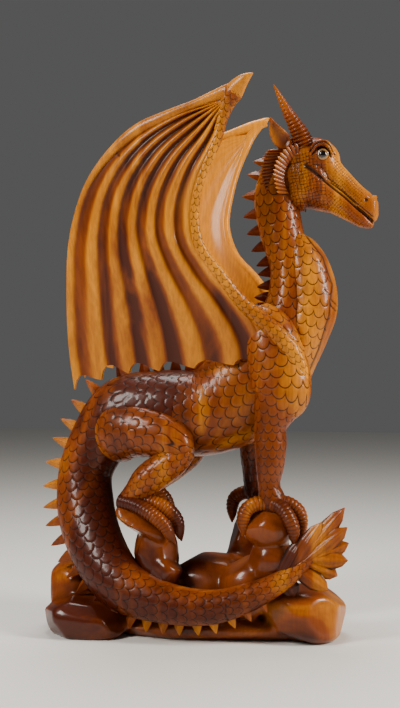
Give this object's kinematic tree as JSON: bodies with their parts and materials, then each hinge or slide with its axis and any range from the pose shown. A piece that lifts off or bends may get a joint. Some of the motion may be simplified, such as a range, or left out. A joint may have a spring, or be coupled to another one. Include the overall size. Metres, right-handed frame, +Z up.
{
  "type": "wooden dragon carving",
  "caption": "Carved hardwood dragon standing on rocks, with raised fluted wings, ringed horns, scales, a spiked back and a long tail that coils forward round the base to a leafy fin.",
  "frame": {"origin": "on the flat underside of the base rocks, under the middle of the body", "axes": "+Z up, +X towards the head, -Y is the side that the tail coils round to"},
  "size_m": [0.6305, 0.3819, 0.9996],
  "materials": {
    "carved_wood": "varnished, red-brown to golden hardwood"
  },
  "bodies": {
    "root": {"dragon_carving": "carved_wood"}
  },
  "joints": []
}
